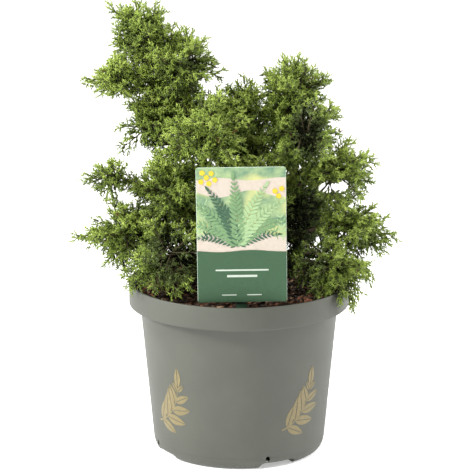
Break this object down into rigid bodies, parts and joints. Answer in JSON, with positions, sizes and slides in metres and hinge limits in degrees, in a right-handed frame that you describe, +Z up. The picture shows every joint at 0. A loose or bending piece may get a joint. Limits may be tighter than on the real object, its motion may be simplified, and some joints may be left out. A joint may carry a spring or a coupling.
{
  "type": "potted japanese cedar",
  "caption": "Young Japanese cedar with a short trunk forked into leaning leaders, drooping plumes of short needles, and a blank plant label, in its tapered plastic pot",
  "frame": {"origin": "middle of the pot's flat underside, which stands on the floor", "axes": "+Z up the plant, -Y towards the front, where the label faces, +X to the right seen from the front"},
  "size_m": [0.279, 0.2006, 0.391],
  "materials": {
    "pot_plastic": "satin grey",
    "soil": "crumbly bark and peat",
    "bark": "fissured bark",
    "foliage": "satin needles",
    "label_card": "printed, satin",
    "label_stick": "moulded"
  },
  "bodies": {
    "root": {"bough_back_left_high": "bark", "bough_back_left_low": "bark", "bough_back_low": "bark", "bough_back_middle": "bark", "bough_back_right_high": "bark", "bough_back_right_low": "bark", "bough_front_high": "bark", "bough_front_left": "bark", "bough_inner_front": "bark", "bough_inner_right": "bark", "bough_left_arm": "bark", "bough_left_bend": "bark", "bough_left_shoulder": "bark", "bough_left_side": "bark", "bough_left_skirt": "bark", "bough_left_twig": "bark", "bough_middle": "bark", "bough_right_arm": "bark", "bough_right_front": "bark", "bough_right_shoulder": "bark", "bough_right_skirt": "bark", "foliage_back_left_high": "foliage", "foliage_back_left_low": "foliage", "foliage_back_low": "foliage", "foliage_back_middle": "foliage", "foliage_back_right_high": "foliage", "foliage_back_right_low": "foliage", "foliage_front_high": "foliage", "foliage_front_left": "foliage", "foliage_inner_front": "foliage", "foliage_inner_right": "foliage", "foliage_left_arm": "foliage", "foliage_left_bend": "foliage", "foliage_left_shoulder": "foliage", "foliage_left_side": "foliage", "foliage_left_skirt": "foliage", "foliage_left_top": "foliage", "foliage_left_twig": "foliage", "foliage_middle": "foliage", "foliage_right_arm": "foliage", "foliage_right_front": "foliage", "foliage_right_shoulder": "foliage", "foliage_right_skirt": "foliage", "foliage_right_top": "foliage", "label_card": "label_card", "label_stick": "label_stick", "leader_left": "bark", "leader_right": "bark", "pot": "pot_plastic", "soil": "soil", "trunk": "bark"}
  },
  "joints": []
}
